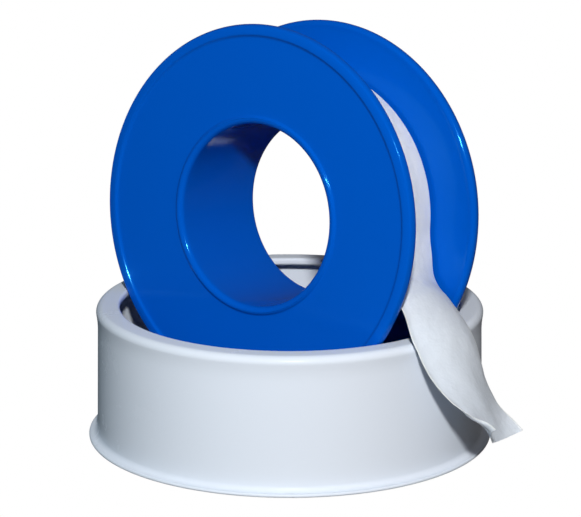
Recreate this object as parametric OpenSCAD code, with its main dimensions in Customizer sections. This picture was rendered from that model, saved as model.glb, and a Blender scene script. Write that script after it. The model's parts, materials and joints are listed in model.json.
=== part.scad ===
// Roll of thread seal tape: a flanged spool that stands on edge in the mouth of its round cover,
// with the film's free end led out between the flanges, over the cover's rim and down its side.
// Millimetres. The origin is the centre of the cover's foot, +Z is up, and the roll is seen along +Y.

/* [Spool] */
// Diameter over the flanges' rims
flange_d = 54; // [50:0.5:60]
// Thickness of a flange's web
flange_web = 1.3; // [1:0.1:1.6]
// Thickness of the round bead along a flange's rim
bead_d = 1.9; // [1.7:0.1:2.4]
// Diameter of the bore through the hub
bore_d = 26; // [20:0.2:28]
// Wall of the hub sleeve
hub_wall = 1.4; // [1.2:0.1:2]
// Width of the raised ring around the bore
ring_w = 1.5; // [1.4:0.1:2.4]
// Height of the raised ring above the web
ring_proud = 0.3; // [0.2:0.05:0.5]
// How far the sleeve steps down where the flanges are pressed on
spigot_step = 0.6; // [0.4:0.05:0.8]

/* [Tape] */
// Width of the film
tape_w = 12.7; // [10:0.1:16]
// Thickness of the film
film_t = 0.1; // [0.08:0.01:0.2]
// Outer diameter of the wound pack under the last turn
pack_d = 38.5; // [34:0.5:42]
// Gap between the film's edge and a flange's bead
side_gap = 0.45; // [0.3:0.05:0.8]
// Gap that the loose last turn leaves to its own start
turn_gap = 0.45; // [0.42:0.01:0.8]

/* [Cover] */
// Thickness of the cover's wall
cover_wall = 0.7; // [0.6:0.1:1.4]
// Room around a flange inside the cover, under the lip
cover_room = 0.15; // [0.15:0.05:0.6]
// How much farther out the wall stands at the foot than under the lip
cover_draft = 0.3; // [0.1:0.05:0.5]
// Room that the cover leaves beyond the spool's width
mouth_room = 1.1; // [0.6:0.1:2]
// Thickness of the lip
lip_t = 1.1; // [0.9:0.1:1.6]
// How far the lip reaches in from the inside of the wall
lip_reach = 2.5; // [2:0.05:3.5]
// How far the round top edge stands proud of the wall
rim_proud = 0.3; // [0.1:0.05:0.4]
// How far the foot's bead stands out from the wall
foot_reach = 1.25; // [1:0.05:2.2]
// Height at which the wall starts to flare out to the foot
foot_h = 0.9; // [0.8:0.1:3]

/* [Stand] */
// Turn of the spool about the vertical
spool_turn = -37; // [-180:0.1:180]
// Tilt of the spool's axis above the level
spool_tip = 5.4; // [0:0.1:10]
// Gap between the flanges' rims and the lip that carries them
seat_gap = 0.2; // [0.15:0.05:0.4]

/* [Tail] */
// Fall of the tail before it bends outwards
tail_drop = 5.9; // [5:0.1:7]
// How far the tail eases away from the roll over that fall
tail_ease = 1.5; // [0.8:0.1:1.8]
// Height of the tail's middle above the rim where it crosses
rim_over = 0.6; // [0.5:0.1:1.5]
// How far outside the rim's edge the tail's middle is there
rim_out = 1.6; // [1.4:0.1:2.5]
// How far outside the rim's edge the tail hangs halfway down
hang_out = 3.9; // [3.5:0.1:6]
// How far outside the rim's edge the tail's tip ends
tip_out = 7.7; // [7:0.1:12]
// Sideways drift of the tail towards the front by the rim
rim_drift = 1.3; // [0:0.1:2]
// Drift back from there to the tip
tip_drift = -3.5; // [-4:0.1:0]
// Twist of the film by the rim, and the twist that is added to it by the tip
rim_twist = -8; // [-10:1:0]
tip_twist = 22; // [10:1:30]
// Angle that the film's width is bowed through over the rim
rim_bow = 64; // [40:1:70]
// Angle that the film's width is cupped through at the tip
tip_cup = 110; // [60:1:120]

/* [Hidden] */

// How far a cut runs past the face that it opens
overrun = 1;
// Facets of a full turn
$fn = 96;

// Spool, worked out about its own centre with its axis along Z
flange_r = flange_d / 2;
bead_r = bead_d / 2;
bore_r = bore_d / 2;
hub_r = bore_r + hub_wall;
ring_r = bore_r + ring_w;
spigot_r = hub_r - spigot_step;
// Running room left between a spigot and the flange that is pressed on it
press_room = 0.02;
flange_mid = tape_w / 2 + side_gap + bead_r;
web_in = flange_mid - flange_web / 2;
web_out = flange_mid + flange_web / 2;
ring_top = web_out + ring_proud;
spool_end = max(ring_top, flange_mid + bead_r);
// Rounding of the bore's mouths, and of the outer edges of the spigots and the raised rings
mouth_round = 0.4;
ring_round = 0.25;

// Tape
pack_r = pack_d / 2;
// Room between the hub and the pack, and between the pack and the loose last turn
pack_room = 0.05;
turn_room = 0.15;
// The last turn laps its own start by a little
turn_sweep = 380;
turn_steps = 95;
turn_rise = film_t + turn_gap;
leave_r = pack_r + turn_room + film_t / 2 + turn_rise * turn_sweep / 360;

// Cover
cover_in = flange_r + cover_room;
cover_out = cover_in + cover_wall;
base_in = cover_in + cover_draft;
base_out = cover_out + cover_draft;
cover_h = 2 * spool_end + lip_t + mouth_room;
lip_r = cover_in - lip_reach;
rim_r = cover_out + rim_proud;
foot_r = base_out + foot_reach;
lip_under = cover_h - lip_t;
// Rounding of the top edge, of the lip's edge and of the corner under the lip
rim_round = 0.6;
lip_round = 0.4;
corner_round = 0.6;
// Half the thickness of the foot's bead, and the chamfer inside the open mouth
foot_round = 0.25;
mouth_chamfer = 0.3;
// Radius of the hollow that runs from the wall into the foot's bead
foot_out = foot_r - foot_round - base_out;
foot_up = foot_h - foot_round;
flare_r = (foot_out * foot_out + foot_up * foot_up - foot_round * foot_round) / (2 * (foot_out + foot_round));

// Stand: both rims lie on one ball about the spool's centre, and the ball sits in the lip's round edge
ball_r = norm([flange_r - bead_r, flange_mid]) + bead_r;
seat_r = ball_r + seat_gap + lip_round;
seat_z = cover_h - lip_round + sqrt(pow(seat_r, 2) - pow(lip_r + lip_round, 2));

// Tail, in the spool's own frame: X outwards and level, Y up in the flanges' plane, Z along the axis
tail_spans = 5;
across = 6;
rim_y = (cover_h - seat_z) / cos(spool_tip);
// Where the route bends between the roll and the rim, as a share of that stretch
ramp_shares = [0.45, 0.34];
// How far the hanging stretches fall below the rim, as shares of the cover's height
hang_share = 0.195;
curl_share = 0.417;
tip_share = 0.685;
// Where the lower curl stands, as a share of the way out from the hanging stretch to the tip
curl_out_share = 0.42;
// Stretches of the tail, as shares of its length, over which each change of form comes in; the cup is
// still coming in at the tip
drift_shares = [0.33, 0.49];
end_shares = [0.54, 1];
bow_shares = [0.08, 0.3];
unbow_shares = [0.7, 1];
cup_shares = [0.86, 1.07];

route_start = [leave_r, 0];
route_bend = [leave_r + tail_ease, -tail_drop];
route_rim = [rim_r + rim_out, rim_y + rim_over];
route_ramp = [
    for (k = [0, 1]) route_bend[k] + (route_rim[k] - route_bend[k]) * ramp_shares[k]
];
route_hang = [rim_r + hang_out, rim_y - cover_h * hang_share];
route_curl = [rim_r + hang_out + (tip_out - hang_out) * curl_out_share, rim_y - cover_h * curl_share];
route_tip = [rim_r + tip_out, rim_y - cover_h * tip_share];
route = [route_start, route_bend, route_ramp, route_rim, route_hang, route_curl, route_tip];
stations = (len(route) - 1) * tail_spans;

// Smooth step, and the same over a stretch given by two shares
function ease(x) = let (c = min(max(x, 0), 1)) c * c * (3 - 2 * c);
function comes_in(s, shares) = ease((s - shares[0]) / (shares[1] - shares[0]));

// The route's point before its start keeps the film upright there, the one after its end runs straight on
function route_at(i) =
    i < 0 ? [route_bend[0], -route_bend[1]]
    : i < len(route) ? route[i]
    : 2 * route_tip - route_curl;

// Place and direction on the smooth curve through the route's points
function curve(a, b, c, d, t) =
    (2 * b + (c - a) * t + (2 * a - 5 * b + 4 * c - d) * t * t + (3 * b - a - 3 * c + d) * t * t * t) / 2;
function slope(a, b, c, d, t) =
    ((c - a) + 2 * (2 * a - 5 * b + 4 * c - d) * t + 3 * (3 * b - a - 3 * c + d) * t * t) / 2;
function span_of(n) = min(floor(n / tail_spans), len(route) - 2);
function tail_mid(n) =
    let (k = span_of(n))
    curve(route_at(k - 1), route_at(k), route_at(k + 1), route_at(k + 2), n / tail_spans - k);
function tail_run(n) =
    let (k = span_of(n))
    let (d = slope(route_at(k - 1), route_at(k), route_at(k + 1), route_at(k + 2), n / tail_spans - k))
    d / norm(d);

// Form of the film at a station: sideways drift, twist, and the angle that its width is bent through
function drift(s) = rim_drift * comes_in(s, drift_shares) + tip_drift * comes_in(s, end_shares);
function twist(s) = rim_twist * comes_in(s, drift_shares) + tip_twist * comes_in(s, end_shares);
function bend(s) =
    rim_bow * (comes_in(s, bow_shares) - comes_in(s, unbow_shares)) - tip_cup * comes_in(s, cup_shares);

// Point of the film at station n, at share w of its width from the middle, lifted off its middle layer
function film_point(n, w, lift) =
    let (s = n / stations)
    let (mid = tail_mid(n))
    let (run = tail_run(n))
    let (out = [-run[1], run[0], 0])
    let (side = cos(twist(s)) * [0, 0, 1] + sin(twist(s)) * out)
    let (face = cos(twist(s)) * out - sin(twist(s)) * [0, 0, 1])
    let (angle = bend(s) * w)
    let (flat = abs(bend(s)) < 1)
    let (bend_r = flat ? 0 : tape_w / bend(s) * 180 / PI)
    let (wide = flat ? tape_w * w : bend_r * sin(angle))
    let (deep = flat ? 0 : bend_r * (1 - cos(angle)))
    [mid[0], mid[1], drift(s)] + side * (wide + lift * sin(angle)) + face * (lift * cos(angle) - deep);

function film_index(n, j, k) = (n * (across + 1) + j) * 2 + k;

// Two triangles on four corners
function quad(a, b, c, d) = [[a, b, c], [a, c, d]];

// Middle of the last turn at an angle back from where the tail leaves
function turn_at(angle, lift) =
    let (r = leave_r - turn_rise * angle / 360 + lift)
    [r * cos(angle), r * sin(angle)];
function turn_edge(lift) = [for (i = [0:turn_steps]) turn_at(turn_sweep * i / turn_steps, lift)];

// Least gap of the last turn to itself, measured between its lapped ends on points of its two faces
lap_steps = 8;
lap_gaps = [
    for (i = [0:lap_steps])
    for (j = [0:lap_steps])
        let (lap = turn_sweep - 360)
        norm(turn_at(lap * i / lap_steps, -film_t / 2) - turn_at(360 + lap * j / lap_steps, film_t / 2))
];
echo(least_gap_of_last_turn = min(lap_gaps));

// Places a piece of the roll from the spool's own frame
module on_stand() {
    translate([0, 0, seat_z])
        rotate([90 - spool_tip, 0, spool_turn])
            children();
}

// What is cut away to round an edge of the spool's end, on the inner or the outer side of a wall
module edge_cut(edge_r, round_r, inner) {
    near_r = inner ? edge_r - overrun : edge_r - round_r;
    mid_r = inner ? edge_r + round_r : edge_r - round_r;
    difference() {
        translate([near_r, ring_top - round_r])
            square(round_r + overrun);
        translate([mid_r, ring_top - round_r])
            circle(round_r);
    }
}

// Sleeve that the film is wound on, stepped down to a spigot at each end
module hub_sleeve() {
    color("mediumblue")
        on_stand()
            rotate_extrude()
                difference() {
                    union() {
                        translate([bore_r, -web_in])
                            square([hub_wall, 2 * web_in]);
                        translate([bore_r, -ring_top])
                            square([spigot_r - bore_r, 2 * ring_top]);
                    }
                    for (end = [0, 1])
                        mirror([0, end]) {
                            edge_cut(bore_r, mouth_round, true);
                            edge_cut(spigot_r, ring_round, false);
                        }
                }
}

// Section of the front flange: web, round bead along the rim, and raised ring around the spigot
module flange_section() {
    inner_r = spigot_r + press_room;
    translate([inner_r, web_in])
        square([flange_r - bead_r - inner_r, flange_web]);
    translate([flange_r - bead_r, flange_mid])
        circle(bead_r);
    difference() {
        translate([inner_r, flange_mid])
            square([ring_r - inner_r, ring_top - flange_mid]);
        edge_cut(ring_r, ring_round, false);
    }
}

// Front flange, pressed on its spigot against the sleeve's shoulder
module front_flange() {
    color("royalblue")
        on_stand()
            rotate_extrude()
                flange_section();
}

// Rear flange, the same the other way round
module rear_flange() {
    color("royalblue")
        on_stand()
            rotate_extrude()
                mirror([0, 1])
                    flange_section();
}

// Inner turns of the film, as one plain core
module tape_pack() {
    color("whitesmoke")
        on_stand()
            rotate_extrude()
                translate([hub_r + pack_room, -tape_w / 2])
                    square([pack_r - hub_r - pack_room, tape_w]);
}

// Last turn of the film, a spiral over the core that ends where the tail leaves
module outer_turn() {
    color("white")
        on_stand()
            linear_extrude(tape_w, center = true)
                polygon(concat(turn_edge(film_t / 2), [for (i = [turn_steps:-1:0]) turn_edge(-film_t / 2)[i]]));
}

// Free end of the film
module tape_tail() {
    points = [
        for (n = [0:stations])
        for (j = [0:across])
        for (k = [0, 1])
            film_point(n, j / across - 1 / 2, (k * 2 - 1) * film_t / 2)
    ];
    faces = [
        for (n = [0:stations - 1]) each [
            for (j = [0:across - 1])
            for (k = [0, 1])
                let (a = film_index(n, j, k))
                let (b = film_index(n, j + 1, k))
                let (c = film_index(n + 1, j + 1, k))
                let (d = film_index(n + 1, j, k))
                each k == 0 ? quad(a, d, c, b) : quad(a, b, c, d)
        ],
        for (n = [0:stations - 1]) each [
            for (j = [0, across])
                let (a = film_index(n, j, 0))
                let (b = film_index(n + 1, j, 0))
                let (c = film_index(n + 1, j, 1))
                let (d = film_index(n, j, 1))
                each j == 0 ? quad(a, d, c, b) : quad(a, b, c, d)
        ],
        for (j = [0:across - 1]) each [
            for (n = [0, stations])
                let (a = film_index(n, j, 0))
                let (b = film_index(n, j + 1, 0))
                let (c = film_index(n, j + 1, 1))
                let (d = film_index(n, j, 1))
                each n == 0 ? quad(a, b, c, d) : quad(a, d, c, b)
        ]
    ];
    color("white")
        on_stand()
            polyhedron(points, faces);
}

// Foot of the cover: a round bead, and the hollow flare that joins it to the wall
module foot_section() {
    bead_x = foot_r - foot_round;
    translate([bead_x, foot_round])
        circle(foot_round);
    translate([base_in, 0])
        square([bead_x - base_in, foot_round]);
    difference() {
        polygon([
            [base_out - cover_wall / 2, foot_round],
            [bead_x, foot_round],
            [base_out + flare_r, foot_h],
            [base_out - cover_wall / 2, foot_h]
        ]);
        translate([base_out + flare_r, foot_h])
            circle(flare_r);
    }
}

// Lip of the cover, with its edge rounded above and below and a fillet in the corner under it
module lip_section() {
    edge_x = lip_r + lip_round;
    translate([edge_x, lip_under])
        square([rim_r - rim_round - edge_x, lip_t]);
    translate([lip_r, lip_under + lip_round])
        square([lip_round, lip_t - 2 * lip_round]);
    for (z = [lip_under + lip_round, cover_h - lip_round])
        translate([edge_x, z])
            circle(lip_round);
    difference() {
        translate([cover_in - corner_round, lip_under - corner_round])
            square([corner_round + cover_wall / 2, corner_round]);
        translate([cover_in - corner_round, lip_under - corner_round])
            circle(corner_round);
    }
}

// Cover, standing on its foot with the lip upwards
module cover() {
    color("white")
        rotate_extrude()
            difference() {
                union() {
                    polygon([
                        [base_in, 0],
                        [base_out, 0],
                        [base_out, foot_h],
                        [cover_out, cover_h - rim_round],
                        [cover_in, cover_h - rim_round],
                        [cover_in, lip_under - corner_round]
                    ]);
                    translate([rim_r - rim_round, cover_h - rim_round])
                        circle(rim_round);
                    lip_section();
                    foot_section();
                }
                polygon([
                    [base_in - overrun, -overrun],
                    [base_in + mouth_chamfer + overrun, -overrun],
                    [base_in - overrun, mouth_chamfer + overrun]
                ]);
            }
}

cover();
hub_sleeve();
front_flange();
rear_flange();
tape_pack();
outer_turn();
tape_tail();
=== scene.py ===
import json
import math
import random

import bpy
from mathutils import Matrix, Vector


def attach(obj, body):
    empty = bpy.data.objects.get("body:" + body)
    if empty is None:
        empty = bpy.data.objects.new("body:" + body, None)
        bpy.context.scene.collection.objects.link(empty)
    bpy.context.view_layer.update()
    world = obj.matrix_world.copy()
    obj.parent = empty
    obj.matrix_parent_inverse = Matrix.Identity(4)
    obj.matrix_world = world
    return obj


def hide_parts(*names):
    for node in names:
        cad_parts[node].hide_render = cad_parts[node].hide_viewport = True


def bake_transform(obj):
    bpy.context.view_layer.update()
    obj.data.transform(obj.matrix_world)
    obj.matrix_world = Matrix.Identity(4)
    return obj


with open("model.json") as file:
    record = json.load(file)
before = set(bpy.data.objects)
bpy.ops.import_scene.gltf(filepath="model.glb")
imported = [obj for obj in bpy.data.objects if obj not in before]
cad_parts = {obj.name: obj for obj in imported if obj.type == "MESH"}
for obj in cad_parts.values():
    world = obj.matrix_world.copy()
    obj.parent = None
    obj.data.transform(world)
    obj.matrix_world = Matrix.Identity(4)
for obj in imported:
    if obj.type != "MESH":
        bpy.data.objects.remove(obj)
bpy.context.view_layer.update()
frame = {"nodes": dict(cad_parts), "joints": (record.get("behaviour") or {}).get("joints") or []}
print("frame loaded:", ", ".join(sorted(frame["nodes"])))

mm = 0.001  # sizes below are in millimetres

# the spool's own directions, read from its joints: level and outwards, up in the flanges' plane,
# and along its axis
joints = {joint["name"]: joint for joint in frame["joints"]}
spoolCentre = Vector(joints["spool_spin"]["pos_m"])
spoolAxis = Vector(joints["spool_spin"]["axis"]).normalized()
levelWay = Vector((0, 0, 1)).cross(spoolAxis).normalized()
upWay = spoolAxis.cross(levelWay)
spoolPlace = Matrix.Translation(spoolCentre) @ Matrix((levelWay, upWay, spoolAxis)).transposed().to_4x4()
hingePoint = Vector(joints["tail_swing"]["pos_m"])


def arcPoints(centre, radius, first, last, steps=8):
    turns = [math.radians(first + (last - first) * k / steps) for k in range(steps + 1)]
    return [(centre[0] + radius * math.cos(a), centre[1] + radius * math.sin(a)) for a in turns]


def steppedLine(start, end, steps):
    return [tuple(a + (b - a) * k / steps for a, b in zip(start, end)) for k in range(1, steps)]


def makePiece(name, points, faces, material, sharpAngle=40):
    mesh = bpy.data.meshes.new(name)
    mesh.from_pydata([tuple(p) for p in points], [], faces)
    mesh.validate()
    mesh.polygons.foreach_set("use_smooth", [True] * len(mesh.polygons))
    mesh.set_sharp_from_angle(angle=math.radians(sharpAngle))
    mesh.materials.append(material)
    piece = bpy.data.objects.new(name, mesh)
    bpy.context.scene.collection.objects.link(piece)
    return piece


def turnPiece(name, outline, stand, material, segments=216):
    # spins a closed outline of (radius, height) pairs, listed anticlockwise, round its own axis
    points = []
    faces = []
    count = len(outline)
    for k in range(segments):
        a = 2 * math.pi * k / segments
        points += [stand @ (Vector((r * math.cos(a), r * math.sin(a), h)) * mm) for r, h in outline]
        here = k * count
        there = (k + 1) % segments * count
        for j in range(count):
            n = (j + 1) % count
            faces.append((here + j, there + j, there + n, here + n))
    return makePiece(name, points, faces, material)


def place(tree, kind, values=None, **settings):
    node = tree.nodes.new(kind)
    for key, value in settings.items():
        setattr(node, key, value)
    for key, value in (values or {}).items():
        node.inputs[key].default_value = value
    return node


def startGroup(name, inputs, outputs):
    group = bpy.data.node_groups.new(name, "ShaderNodeTree")
    for label, value in inputs.items():
        socket = group.interface.new_socket(label, in_out="INPUT", socket_type="NodeSocketFloat")
        socket.default_value = value
    for label in outputs:
        group.interface.new_socket(label, in_out="OUTPUT", socket_type="NodeSocketFloat")
    return group, group.nodes.new("NodeGroupInput"), group.nodes.new("NodeGroupOutput")


def makeMouldSkin():
    # slow tone drift of moulded plastic, and the faint orange peel of its surface
    group, given, result = startGroup("mouldSkin", {"Drift": 60, "Peel": 900}, ["Tone", "Height"])
    where = place(group, "ShaderNodeTexCoord")
    drift = place(group, "ShaderNodeTexNoise", {"Detail": 3, "Roughness": 0.55})
    peel = place(group, "ShaderNodeTexNoise", {"Detail": 1, "Roughness": 0.4})
    for noise, scale in ((drift, "Drift"), (peel, "Peel")):
        group.links.new(where.outputs["Object"], noise.inputs["Vector"])
        group.links.new(given.outputs[scale], noise.inputs["Scale"])
    group.links.new(drift.outputs["Fac"], result.inputs["Tone"])
    group.links.new(peel.outputs["Fac"], result.inputs["Height"])
    return group


markForm = {
    "scratches": ((0.6, (2600, 2600, 110)), (2.1, (150, 2300, 2300))),  # turn, and stretch of the noise
    "scratchCut": (0.66, 0.74),  # from no mark to a full one
    "spots": 170,
    "spotCut": (0.52, 0.7),
}


def makeHandlingMarks():
    # hair scratches in two directions and a few dull spots, from being carried and used
    group, given, result = startGroup("handlingMarks", {"Scratch": 0.5, "Dull": 0.5}, ["Mask"])
    where = place(group, "ShaderNodeTexCoord")
    total = None
    scratchLow, scratchHigh = markForm["scratchCut"]
    spotLow, spotHigh = markForm["spotCut"]
    for turn, stretch in markForm["scratches"]:
        lay = place(group, "ShaderNodeMapping", {"Rotation": (turn, turn / 2, turn / 3), "Scale": stretch})
        streak = place(group, "ShaderNodeTexNoise", {"Scale": 1, "Detail": 2})
        thin = place(group, "ShaderNodeMapRange", {"From Min": scratchLow, "From Max": scratchHigh})
        group.links.new(where.outputs["Object"], lay.inputs["Vector"])
        group.links.new(lay.outputs["Vector"], streak.inputs["Vector"])
        group.links.new(streak.outputs["Fac"], thin.inputs["Value"])
        if total is None:
            total = thin
            continue
        both = place(group, "ShaderNodeMath", operation="MAXIMUM")
        group.links.new(total.outputs[0], both.inputs[0])
        group.links.new(thin.outputs[0], both.inputs[1])
        total = both
    spots = place(group, "ShaderNodeTexNoise", {"Scale": markForm["spots"], "Detail": 5, "Roughness": 0.65})
    dull = place(group, "ShaderNodeMapRange", {"From Min": spotLow, "From Max": spotHigh})
    group.links.new(where.outputs["Object"], spots.inputs["Vector"])
    group.links.new(spots.outputs["Fac"], dull.inputs["Value"])
    scratchPart = place(group, "ShaderNodeMath", operation="MULTIPLY")
    dullPart = place(group, "ShaderNodeMath", operation="MULTIPLY")
    mask = place(group, "ShaderNodeMath", operation="ADD", use_clamp=True)
    group.links.new(total.outputs[0], scratchPart.inputs[0])
    group.links.new(given.outputs["Scratch"], scratchPart.inputs[1])
    group.links.new(dull.outputs[0], dullPart.inputs[0])
    group.links.new(given.outputs["Dull"], dullPart.inputs[1])
    group.links.new(scratchPart.outputs[0], mask.inputs[0])
    group.links.new(dullPart.outputs[0], mask.inputs[1])
    group.links.new(mask.outputs[0], result.inputs["Mask"])
    return group


mouldSkin = makeMouldSkin()
handlingMarks = makeHandlingMarks()


def startMaterial(name, shaderValues):
    material = bpy.data.materials.new(name)
    material.use_nodes = True
    tree = material.node_tree
    shader = tree.nodes["Principled BSDF"]
    for key, value in shaderValues.items():
        shader.inputs[key].default_value = value
    return material, tree, shader


def mouldedPlastic(name, look):
    material, tree, shader = startMaterial(name, look["shader"])
    skin = place(tree, "ShaderNodeGroup", node_tree=mouldSkin)
    marks = place(tree, "ShaderNodeGroup", node_tree=handlingMarks)
    for group in (skin, marks):
        for key, value in look["effects"].items():
            if key in group.inputs:
                group.inputs[key].default_value = value
    tone = place(tree, "ShaderNodeMix", data_type="RGBA")
    tone.inputs["A"].default_value = (*look["deep"], 1)
    tone.inputs["B"].default_value = (*look["light"], 1)
    rough = place(tree, "ShaderNodeMapRange", {"To Min": look["gloss"], "To Max": look["worn"]})
    bump = place(tree, "ShaderNodeBump", {
        "Strength": look["peelStrength"],
        "Distance": look["peelDepth"] * mm,
    })
    tree.links.new(skin.outputs["Tone"], tone.inputs["Factor"])
    tree.links.new(tone.outputs["Result"], shader.inputs["Base Color"])
    tree.links.new(marks.outputs["Mask"], rough.inputs["Value"])
    tree.links.new(rough.outputs["Result"], shader.inputs["Roughness"])
    tree.links.new(skin.outputs["Height"], bump.inputs["Height"])
    tree.links.new(bump.outputs["Normal"], shader.inputs["Normal"])
    return material


blueLook = {
    "deep": (0.0, 0.088, 0.515),
    "light": (0.0, 0.096, 0.545),
    "gloss": 0.12,
    "worn": 0.18,
    "peelStrength": 0.02,
    "peelDepth": 0.03,
    "effects": {"Drift": 40, "Peel": 700, "Scratch": 0.25, "Dull": 0.3},
    "shader": {"Specular IOR Level": 0.3, "Specular Tint": (0.08, 0.6, 1, 1)},
}
whiteLook = {
    "deep": (0.73, 0.785, 0.865),
    "light": (0.75, 0.805, 0.885),
    "gloss": 0.26,
    "worn": 0.33,
    "peelStrength": 0.015,
    "peelDepth": 0.03,
    "effects": {"Drift": 30, "Peel": 600, "Scratch": 0.12, "Dull": 0.3},
    "shader": {"Specular IOR Level": 0.07},
}
bluePlastic = mouldedPlastic("bluePlastic", blueLook)
whitePlastic = mouldedPlastic("whitePlastic", whiteLook)


filmLook = {
    "shade": (0.93, 0.98, 0.99),
    "light": (0.96, 1.0, 1.0),
    "single": (0.78, 0.81, 0.9),  # what is left of it where the film hangs free in one layer
    "streaks": (3.2, 0.05),  # streaks to a millimetre, across the film and along it
    "clouds": 0.35,
    "toneShare": 0.5,  # of the streaks in the tone, and of the clouds
    "silky": 0.42,
    "dull": 0.6,
    "lineDepth": 0.012,
    "lineStrength": 0.5,
    "crumpleDepth": 0.3,
    "crumpleStrength": 0.8,
    "shader": {
        "Specular IOR Level": 0.35,
        "Sheen Weight": 0.08,
        "Sheen Roughness": 0.4,
        "Subsurface Weight": 0.5,
        "Subsurface Radius": (1, 1, 1),
        "Subsurface Scale": 0.25 * mm,
    },
}


def makeSealingFilm():
    material, tree, shader = startMaterial("sealingFilm", filmLook["shader"])
    lay = place(tree, "ShaderNodeUVMap", uv_map="lay")
    across, along = filmLook["streaks"]
    stretch = place(tree, "ShaderNodeMapping", {"Scale": (across, along, 1)})
    streaks = place(tree, "ShaderNodeTexNoise", {"Scale": 1, "Detail": 4, "Roughness": 0.6})
    cloud = place(tree, "ShaderNodeTexNoise", {"Scale": filmLook["clouds"], "Detail": 3})
    tone = place(tree, "ShaderNodeMix", data_type="RGBA")
    tone.inputs["A"].default_value = (*filmLook["shade"], 1)
    tone.inputs["B"].default_value = (*filmLook["light"], 1)
    blend = place(tree, "ShaderNodeMath", operation="MULTIPLY_ADD")
    blend.inputs[1].default_value = filmLook["toneShare"]
    cloudPart = place(tree, "ShaderNodeMath", operation="MULTIPLY")
    cloudPart.inputs[1].default_value = filmLook["toneShare"]
    # the attribute gives the free tail a single layer's tone, and its zero at the slit borders keeps them
    # at the wound film's white as a painted highlight
    loose = place(tree, "ShaderNodeAttribute", attribute_name="loose")
    thin = place(tree, "ShaderNodeMix", data_type="RGBA", blend_type="MULTIPLY")
    thin.inputs["B"].default_value = (*filmLook["single"], 1)
    rough = place(tree, "ShaderNodeMapRange", {"To Min": filmLook["silky"], "To Max": filmLook["dull"]})
    crumple, bump = [
        place(tree, "ShaderNodeBump", {
            "Strength": filmLook[kind + "Strength"],
            "Distance": filmLook[kind + "Depth"] * mm,
        })
        for kind in ("crumple", "line")
    ]
    tree.links.new(cloud.outputs["Fac"], crumple.inputs["Height"])
    tree.links.new(crumple.outputs["Normal"], bump.inputs["Normal"])
    tree.links.new(lay.outputs["UV"], stretch.inputs["Vector"])
    tree.links.new(stretch.outputs["Vector"], streaks.inputs["Vector"])
    tree.links.new(lay.outputs["UV"], cloud.inputs["Vector"])
    tree.links.new(cloud.outputs["Fac"], cloudPart.inputs[0])
    tree.links.new(streaks.outputs["Fac"], blend.inputs[0])
    tree.links.new(cloudPart.outputs[0], blend.inputs[2])
    tree.links.new(blend.outputs[0], tone.inputs["Factor"])
    tree.links.new(loose.outputs["Fac"], thin.inputs["Factor"])
    tree.links.new(tone.outputs["Result"], thin.inputs["A"])
    tree.links.new(thin.outputs["Result"], shader.inputs["Base Color"])
    tree.links.new(streaks.outputs["Fac"], rough.inputs["Value"])
    tree.links.new(rough.outputs["Result"], shader.inputs["Roughness"])
    tree.links.new(streaks.outputs["Fac"], bump.inputs["Height"])
    tree.links.new(bump.outputs["Normal"], shader.inputs["Normal"])
    return material


sealingFilm = makeSealingFilm()
print("materials made: bluePlastic, whitePlastic, sealingFilm")

coverSize = {
    "inside": 27.15,  # under the lip
    "wall": 0.7,
    "draft": 0.3,  # how much farther out the wall stands at the foot
    "height": 19.6,
    "lipThick": 1.1,
    "lipReach": 2.5,
    "lipRound": 0.4,
    "underRound": 0.6,
    "rimProud": 0.2,
    "rimRound": 1.0,
    "rimHollow": 14.0,
    "footReach": 1.25,
    "footHeight": 1.3,
    "footRound": 0.25,
    "mouthChamfer": 0.3,
}


def coverOutline(size):
    inside = size["inside"]
    outside = inside + size["wall"]
    baseIn = inside + size["draft"]
    base = outside + size["draft"]
    top = size["height"]
    under = top - size["lipThick"]
    lipEdge = inside - size["lipReach"] + size["lipRound"]
    rimMid = (outside + size["rimProud"] - size["rimRound"], top - size["rimRound"])
    # hollow between the round rim and the wall, touching both
    hollowX = outside + size["rimHollow"]
    reach = size["rimRound"] + size["rimHollow"]
    hollowZ = rimMid[1] - math.sqrt(reach ** 2 - (hollowX - rimMid[0]) ** 2)
    rimTurn = math.degrees(math.atan2(hollowZ - rimMid[1], hollowX - rimMid[0]))
    # flare from the wall into the foot's bead, an arc that touches both
    beadMid = (base + size["footReach"] - size["footRound"], size["footRound"])
    out = beadMid[0] - base
    up = size["footHeight"] - size["footRound"]
    flare = (out ** 2 + up ** 2 - size["footRound"] ** 2) / (2 * (out + size["footRound"]))
    flareMid = (base + flare, size["footHeight"])
    beadTurn = math.degrees(math.atan2(flareMid[1] - beadMid[1], flareMid[0] - beadMid[0]))
    corner = (inside - size["underRound"], under - size["underRound"])
    outline = [(baseIn, size["mouthChamfer"]), (baseIn + size["mouthChamfer"], 0)]
    outline += steppedLine(outline[-1], (beadMid[0], 0), 3)
    outline += arcPoints(beadMid, size["footRound"], -90, beadTurn, 14)
    outline += arcPoints(flareMid, flare, beadTurn + 180, 180, 10)[1:]
    outline += steppedLine((base, flareMid[1]), (outside, hollowZ), 8)
    outline += arcPoints((hollowX, hollowZ), size["rimHollow"], 180, rimTurn + 180, 5)
    outline += arcPoints(rimMid, size["rimRound"], rimTurn, 90, 14)[1:]
    outline += steppedLine(outline[-1], (lipEdge, top), 4)
    outline += arcPoints((lipEdge, top - size["lipRound"]), size["lipRound"], 90, 180, 7)
    outline += arcPoints((lipEdge, under + size["lipRound"]), size["lipRound"], 180, 270, 7)
    outline += arcPoints(corner, size["underRound"], 90, 0, 7)
    outline += steppedLine((inside, corner[1]), (baseIn, size["mouthChamfer"]), 8)
    return outline


cover = turnPiece("cover_shell", coverOutline(coverSize), Matrix.Identity(4), whitePlastic)
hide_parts("cover")
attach(cover, "cover")
print("cover turned")

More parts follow.
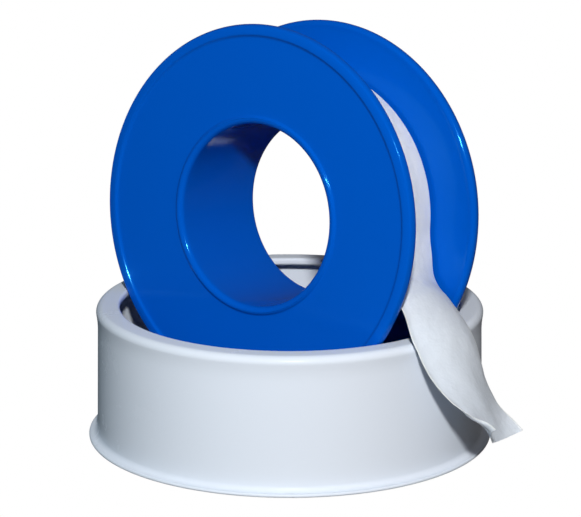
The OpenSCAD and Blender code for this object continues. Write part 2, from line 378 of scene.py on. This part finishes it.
spoolSize = {
    "rim": 27.0,
    "edgeRound": 1.3,  # of the outer edge, up to its tight outer corner
    "edgeTurn": 34,
    "cornerRound": 0.25,
    "lineAt": 25.65,  # raised line inside the edge, its height, its own round and its foot's
    "lineProud": 0.3,
    "lineRound": 0.32,
    "lineFoot": 0.6,
    "filmSideProud": 0.05,
    "filmSideHollow": 4.0,
    "middle": 7.75,  # of a flange, from the middle of the film
    "web": 1.3,
    "bore": 13.0,
    "hub": 14.4,
    "spigot": 13.8,
    "seam": 0.02,
    "ringCrown": 13.75,
    "ringProud": 0.3,
    "ringRound": 0.45,
    "ringFoot": 0.35,
    "mouthRound": 0.75,
    "seamRound": 0.005,
}


def flangeOutline(size):
    inner = size["spigot"] + size["seam"]
    webIn = size["middle"] - size["web"] / 2
    webOut = size["middle"] + size["web"] / 2
    top = webOut + size["ringProud"]
    # rounded edge, a tight outer corner, and a low dome from there to the raised line and its foot
    edgeMid = (size["rim"] - size["edgeRound"], size["middle"])
    shift = size["edgeRound"] - size["cornerRound"]
    cornerWay = math.radians(size["edgeTurn"])
    corner = (edgeMid[0] + shift * math.cos(cornerWay), edgeMid[1] + shift * math.sin(cornerWay))
    lineTop = webOut + size["lineProud"]
    reach = corner[0] - size["lineAt"]
    drop = lineTop - corner[1]
    dome = (reach ** 2 + drop ** 2 - size["cornerRound"] ** 2) / (2 * (drop - size["cornerRound"]))
    domeMid = (size["lineAt"], lineTop - dome)
    domeTurn = math.degrees(math.atan2(corner[1] - domeMid[1], reach))
    lineMid = (size["lineAt"], lineTop - size["lineRound"])
    spread = size["lineRound"] + size["lineFoot"]
    fall = spread - size["lineProud"]
    lineTurn = math.degrees(math.asin(fall / spread))
    outHollow = (lineMid[0] - math.sqrt(spread ** 2 - fall ** 2), webOut + size["lineFoot"])
    # plain round on the film's side, which runs into the web by a shallow hollow
    filmRound = size["web"] / 2 + size["filmSideProud"]
    filmMid = (size["rim"] - filmRound, size["middle"])
    spread = filmRound + size["filmSideHollow"]
    fall = spread - size["filmSideProud"]
    filmTurn = math.degrees(math.asin(fall / spread))
    inHollow = (filmMid[0] - math.sqrt(spread ** 2 - fall ** 2), webIn - size["filmSideHollow"])
    # round ring about the bore, which is parted from the sleeve's end by a fine seam
    crown = (size["ringCrown"], top - size["ringRound"])
    spread = size["ringRound"] + size["ringFoot"]
    fall = spread - size["ringProud"]
    footMid = (crown[0] + math.sqrt(spread ** 2 - fall ** 2), webOut + size["ringFoot"])
    ringTurn = math.degrees(math.asin(fall / spread))
    seamTurn = math.degrees(math.acos((inner + size["seamRound"] - crown[0]) / size["ringRound"]))
    outline = [(inner, webIn)]
    outline += steppedLine(outline[-1], (inHollow[0], webIn), 12)
    outline += arcPoints(inHollow, size["filmSideHollow"], 90, filmTurn, 4)
    outline += arcPoints(filmMid, filmRound, filmTurn - 180, 0, 16)[1:]
    outline += arcPoints(edgeMid, size["edgeRound"], 0, size["edgeTurn"], 8)[1:]
    outline += arcPoints(corner, size["cornerRound"], size["edgeTurn"], domeTurn, 8)[1:]
    outline += arcPoints(domeMid, dome, domeTurn, 90, 6)[1:]
    outline += arcPoints(lineMid, size["lineRound"], 90, 180 - lineTurn, 8)[1:]
    outline += arcPoints(outHollow, size["lineFoot"], -lineTurn, -90, 8)[1:]
    outline += steppedLine((outHollow[0], webOut), (footMid[0], webOut), 12)
    outline += arcPoints(footMid, size["ringFoot"], 270, 180 + ringTurn, 6)
    outline += arcPoints(crown, size["ringRound"], ringTurn, seamTurn, 8)[1:]
    outline.append((inner, top - size["seamRound"]))
    return outline


def sleeveOutline(size):
    webIn = size["middle"] - size["web"] / 2
    top = size["middle"] + size["web"] / 2 + size["ringProud"]
    mouth = (size["bore"] + size["mouthRound"], top - size["mouthRound"])
    edge = (size["spigot"] - size["seamRound"], top - size["seamRound"])
    half = [(size["hub"], 0), (size["hub"], webIn), (size["spigot"], webIn)]
    half += arcPoints(edge, size["seamRound"], 0, 90, 4)
    half += arcPoints(mouth, size["mouthRound"], 90, 180, 9)
    half += steppedLine(half[-1], (size["bore"], -mouth[1]), 16)[:8]
    return half + [(r, -h) for r, h in reversed(half[1:-1])]


sleeve = turnPiece("spool_sleeve", sleeveOutline(spoolSize), spoolPlace, bluePlastic)
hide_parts("hub_sleeve")
frontOutline = flangeOutline(spoolSize)
rearOutline = [(r, -h) for r, h in reversed(frontOutline)]
frontFlange = turnPiece("spool_front_flange", frontOutline, spoolPlace, bluePlastic)
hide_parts("front_flange")
rearFlange = turnPiece("spool_rear_flange", rearOutline, spoolPlace, bluePlastic)
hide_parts("rear_flange")
for piece in (sleeve, frontFlange, rearFlange):
    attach(piece, "spool")
print("spool turned")

filmSize = {
    "width": 12.7,
    "thick": 0.1,
    "packInner": 14.45,
    "packOuter": 19.25,
    "packLayers": 40,
    "layerDrift": 0.09,
    "layerShare": 0.9,  # of the room of a layer that its edge fills
    "turnRise": 0.55,
    "turnSweep": 380,
    "turnStep": 2,
    "turnSplit": 170,  # where the last turn is handed over to the piece that ends in the tail
    "columns": 32,
}
leaveRadius = (hingePoint - spoolCentre).length / mm - filmSize["thick"] / 2


def layRows(piece, rowLengths, columns):
    # flat place of each corner on the film, in millimetres across and along
    uvs = piece.data.uv_layers.new(name="lay")
    perRow = columns + 1
    for loop in piece.data.loops:
        row, column = divmod(loop.vertex_index // 2, perRow)
        uvs.data[loop.index].uv = (filmSize["width"] * column / columns, rowLengths[row])


def filmPiece(name, rows):
    # rows of (point, normal) pairs across the film become one thin closed strip
    half = filmSize["thick"] / 2
    columns = filmSize["columns"]
    points = []
    faces = []
    lengths = [0]
    for k, row in enumerate(rows):
        for point, normal in row:
            points += [spoolPlace @ ((point + normal * lift) * mm) for lift in (-half, half)]
        if k:
            lengths.append(lengths[-1] + (row[columns // 2][0] - rows[k - 1][columns // 2][0]).length)

    def addFace(*corners):
        # each corner is its row, its column and its side, 0 inside and 1 outside
        faces.append([(k * (columns + 1) + j) * 2 + side for k, j, side in corners])

    last = len(rows) - 1
    for k in range(last):
        for j in range(columns):
            addFace((k, j, 1), (k, j + 1, 1), (k + 1, j + 1, 1), (k + 1, j, 1))
            addFace((k, j, 0), (k + 1, j, 0), (k + 1, j + 1, 0), (k, j + 1, 0))
        addFace((k, 0, 0), (k, 0, 1), (k + 1, 0, 1), (k + 1, 0, 0))
        addFace((k, columns, 0), (k + 1, columns, 0), (k + 1, columns, 1), (k, columns, 1))
    for j in range(columns):
        addFace((0, j, 0), (0, j + 1, 0), (0, j + 1, 1), (0, j, 1))
        addFace((last, j, 0), (last, j, 1), (last, j + 1, 1), (last, j + 1, 0))
    piece = makePiece(name, points, faces, sealingFilm, sharpAngle=60)
    layRows(piece, lengths, columns)
    return piece, lengths[-1]


def turnRows(first, last):
    # the last turn, a spiral that rises to where the tail leaves it at angle 0
    columns = filmSize["columns"]
    step = filmSize["turnStep"]
    rows = []
    for k in range(round((first - last) / step) + 1):
        angle = first - step * k
        radius = leaveRadius - filmSize["turnRise"] * angle / 360
        way = Vector((math.cos(math.radians(angle)), math.sin(math.radians(angle)), 0))
        rows.append([
            (way * radius + Vector((0, 0, filmSize["width"] * (j / columns - 0.5))), way)
            for j in range(columns + 1)
        ])
    return rows


def packOutline():
    # side faces show the edges of the turns, each a little out of line
    drift = random.Random(7)
    half = filmSize["width"] / 2
    step = (filmSize["packOuter"] - filmSize["packInner"]) / filmSize["packLayers"]

    def sideOf(sign):
        line = []
        for k in range(filmSize["packLayers"]):
            height = sign * (half - drift.random() * filmSize["layerDrift"])
            inner = filmSize["packInner"] + step * k
            line += [(inner, height), (inner + step * filmSize["layerShare"], height)]
        return line

    return sideOf(-1) + list(reversed(sideOf(1)))


tailForm = {
    "route": [
        (21.53, -5.9), (25.23, -8.36), (29.75, -13.13),
        (32.05, -17.55), (33.65, -21.9), (35.85, -27.15),
    ],
    "spanSteps": 20,
    "rimDrift": (1.3, 0.33, 0.49),  # amount, and the shares of the length over which it comes in
    "tipDrift": (-3.5, 0.54, 1.0),
    "rimTwist": (-8, 0.33, 0.49),
    "tipTwist": (22, 0.54, 1.0),
    "rimBow": (64, 0.08, 0.3),
    "rimUnbow": (-64, 0.7, 1.0),
    "tipCup": (-110, 0.86, 1.07),
    "border": (-34, 0.2, 0.32),  # turn of the left border towards the viewer
    "foldOver": (-75, 0.8, 0.92),
    "foldEnd": (60, 0.92, 1.0),
    "borderAt": (0.4, 0.5),  # shares of the width over which it turns
    "ripple": (4, 0.4, 0.7),
    "ripples": 2.3,  # to the film's width
    "rippleRun": 1.3,  # how far the ripples run sideways along the tail
    "thin": (1, 0.0, 0.3),  # change from the wound film's look to a single layer's
    "endBulge": (0.5, 0.8, 1.0),  # the torn end is rounded, most at its left corner
    "endCut": (-1.3, 0.88, 1.0),
    "endCutAt": (0.1, 0.5),
    "bendReach": 6.0,
}


def comesIn(share, change):
    amount, start, end = change
    x = min(max((share - start) / (end - start), 0), 1)
    return amount * x * x * (3 - 2 * x)


def comesInAll(share, keys):
    return sum(comesIn(share, tailForm[key]) for key in keys)


def alongRoute(a, b, c, d, t):
    # place and direction on a smooth curve through b and c
    second = 2 * a - 5 * b + 4 * c - d
    third = 3 * b - a - 3 * c + d
    middle = (2 * b + (c - a) * t + second * t * t + third * t ** 3) / 2
    return middle, ((c - a) + 2 * second * t + 3 * third * t * t).normalized()


def tailRows():
    columns = filmSize["columns"]
    route = [Vector(p) for p in [(leaveRadius, 0)] + tailForm["route"]]
    ends = [Vector((route[1].x, -route[1].y))] + route + [2 * route[-1] - route[-2]]
    steps = tailForm["spanSteps"]
    stations = (len(route) - 1) * steps
    rows = []
    for n in range(stations + 1):
        k = min(n // steps, len(route) - 2)
        t = n / steps - k
        middle, run = alongRoute(*ends[k:k + 4], t)
        share = n / stations
        out = Vector((-run.y, run.x, 0))
        across = Vector((0, 0, 1))
        twist = math.radians(comesInAll(share, ("rimTwist", "tipTwist")))
        side = math.cos(twist) * across + math.sin(twist) * out
        face = math.cos(twist) * out - math.sin(twist) * across
        start = Vector((middle.x, middle.y, comesInAll(share, ("rimDrift", "tipDrift"))))
        bend = comesInAll(share, ("rimBow", "rimUnbow", "tipCup"))
        border = comesInAll(share, ("border", "foldOver", "foldEnd"))
        ripple = comesIn(share, tailForm["ripple"])
        bulge = comesIn(share, tailForm["endBulge"])
        cut = comesIn(share, tailForm["endCut"])
        onward = Vector((run.x, run.y, 0))

        def angleAt(w):
            wave = math.sin(2 * math.pi * (tailForm["ripples"] * w + share * tailForm["rippleRun"]))
            return math.radians(bend * w + comesIn(w, (border, *tailForm["borderAt"])) + ripple * wave)

        # the film keeps its width, so a row is walked out from its middle by its own angle
        step = 1 / columns
        row = {0: (start, face)}
        for way in (1, -1):
            point = start
            for j in range(1, columns // 2 + 1):
                angle = angleAt(way * (j - 0.5) * step)
                slope = side * math.cos(angle) - face * math.sin(angle)
                point = point + way * slope * step * filmSize["width"]
                angle = angleAt(way * j * step)
                row[way * j] = (point, side * math.sin(angle) + face * math.cos(angle))

        def pushedOn(w):
            return bulge * (1 - (2 * w) ** 2) + comesIn(w, (cut, *tailForm["endCutAt"]))

        rows.append([
            (row[j][0] + onward * pushedOn(j * step), row[j][1])
            for j in range(-columns // 2, columns // 2 + 1)
        ])
    return rows


pack = turnPiece("tape_wound_pack", packOutline(), spoolPlace, sealingFilm)
packLay = pack.data.uv_layers.new(name="lay")
packCount = filmSize["packLayers"] * 4
for loop in pack.data.loops:
    ring, corner = divmod(loop.vertex_index, packCount)
    packLay.data[loop.index].uv = (corner * filmSize["thick"], ring / 2)
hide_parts("tape_pack")
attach(pack, "spool")

lastTurn, turnLength = filmPiece("tape_last_turn", turnRows(filmSize["turnSweep"], filmSize["turnSplit"]))
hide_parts("outer_turn")
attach(lastTurn, "loose_turn")

freeRows = turnRows(filmSize["turnSplit"], filmSize["turnStep"]) + tailRows()
freeEnd, freeLength = filmPiece("tape_free_end", freeRows)
looseShareAndEdgeHighlight = freeEnd.data.attributes.new("loose", "FLOAT", "POINT")
tailStart = len(freeRows) - len(tailForm["route"]) * tailForm["spanSteps"] - 1
for k, item in enumerate(looseShareAndEdgeHighlight.data):
    row, column = divmod(k // 2, filmSize["columns"] + 1)
    # the slit borders stay as white as the wound film: a painted highlight along the tail's edges
    if column not in (0, filmSize["columns"]):
        item.value = comesIn((row - tailStart) / (len(freeRows) - tailStart), tailForm["thin"])
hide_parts("tape_tail")
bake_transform(freeEnd)
print("film laid: last turn", round(turnLength, 1), "mm, free end", round(freeLength, 1), "mm")

shot = {
    "place": (0.000116, -0.362292, 0.121097),
    "lookDown": 14.7,
    "lens": 160.55,
    "sensor": 36,
}
cameraData = bpy.data.cameras.new("shotCamera")
cameraData.lens = shot["lens"]
cameraData.sensor_width = shot["sensor"]
camera = bpy.data.objects.new("shotCamera", cameraData)
camera.location = shot["place"]
camera.rotation_euler = (math.radians(90 - shot["lookDown"]), 0, 0)
bpy.context.scene.collection.objects.link(camera)
bpy.context.scene.camera = camera

studio = {
    "flash": {"place": (0.012, -0.364, 0.243), "size": 0.03, "power": 1.75},
    "backFill": {"place": (0.35, 0.5, 0.38), "size": 0.4, "power": 0.5, "mirrored": False},
    "sideFill": {
        "place": (-0.5, -0.2, 0.35), "size": 0.4, "power": 0.4,
        "tint": (0.3, 0.75, 1), "mirrored": False,
    },
    "aim": (0, 0, 0.03),
    "ambient": (0.04, 0.037, 0.04),
    "backdrop": (1, 1, 1),
    "floorTone": (0.12, 0.115, 0.11),
    "floorRough": 0.9,
    "floorSize": 3.0,
}


def addLight(name, setup):
    data = bpy.data.lights.new(name, "AREA")
    data.shape = "DISK"
    data.size = setup["size"]
    data.energy = setup["power"]
    data.color = setup.get("tint", (1, 1, 1))
    light = bpy.data.objects.new(name, data)
    light.location = setup["place"]
    light.visible_glossy = setup.get("mirrored", True)
    light.rotation_euler = (Vector(studio["aim"]) - light.location).to_track_quat("-Z", "Y").to_euler()
    bpy.context.scene.collection.objects.link(light)


for name in ("flash", "backFill", "sideFill"):
    addLight(name, studio[name])


def splitForCamera(tree, lit, seen, end):
    # the camera sees one shader, and the object is lit by the other
    ray = place(tree, "ShaderNodeLightPath")
    choice = place(tree, "ShaderNodeMixShader")
    tree.links.new(ray.outputs["Is Camera Ray"], choice.inputs["Fac"])
    tree.links.new(lit, choice.inputs[1])
    tree.links.new(seen, choice.inputs[2])
    tree.links.new(choice.outputs["Shader"], tree.nodes[end].inputs["Surface"])


world = bpy.data.worlds.new("studioWorld")
world.use_nodes = True
bpy.context.scene.world = world
tree = world.node_tree
seen = place(tree, "ShaderNodeBackground", {"Color": (*studio["backdrop"], 1)})
lit = tree.nodes["Background"]
lit.inputs["Color"].default_value = (*studio["ambient"], 1)
splitForCamera(tree, lit.outputs["Background"], seen.outputs["Background"], "World Output")

floorLook = {"Base Color": (*studio["floorTone"], 1), "Roughness": studio["floorRough"]}
floorMaterial, tree, shader = startMaterial("paleFloor", floorLook)
glow = place(tree, "ShaderNodeEmission", {"Color": (*studio["backdrop"], 1)})
splitForCamera(tree, shader.outputs["BSDF"], glow.outputs["Emission"], "Material Output")
side = studio["floorSize"] / 2
corners = [(-side, -side, 0), (side, -side, 0), (side, side, 0), (-side, side, 0)]
floor = makePiece("floor", corners, [(0, 1, 2, 3)], floorMaterial)
bpy.context.scene.view_settings.view_transform = "Standard"

# the flash's small reflections spread a little in the lens
bloom = {"Threshold": 1.1, "Strength": 0.9, "Size": 0.1}
bpy.context.scene.use_nodes = True
tree = bpy.context.scene.node_tree
tree.nodes.clear()
picture = place(tree, "CompositorNodeRLayers")
spread = place(tree, "CompositorNodeGlare", bloom, glare_type="BLOOM")
result = place(tree, "CompositorNodeComposite")
tree.links.new(picture.outputs["Image"], spread.inputs["Image"])
tree.links.new(spread.outputs["Image"], result.inputs["Image"])
print("camera, lights and floor set")
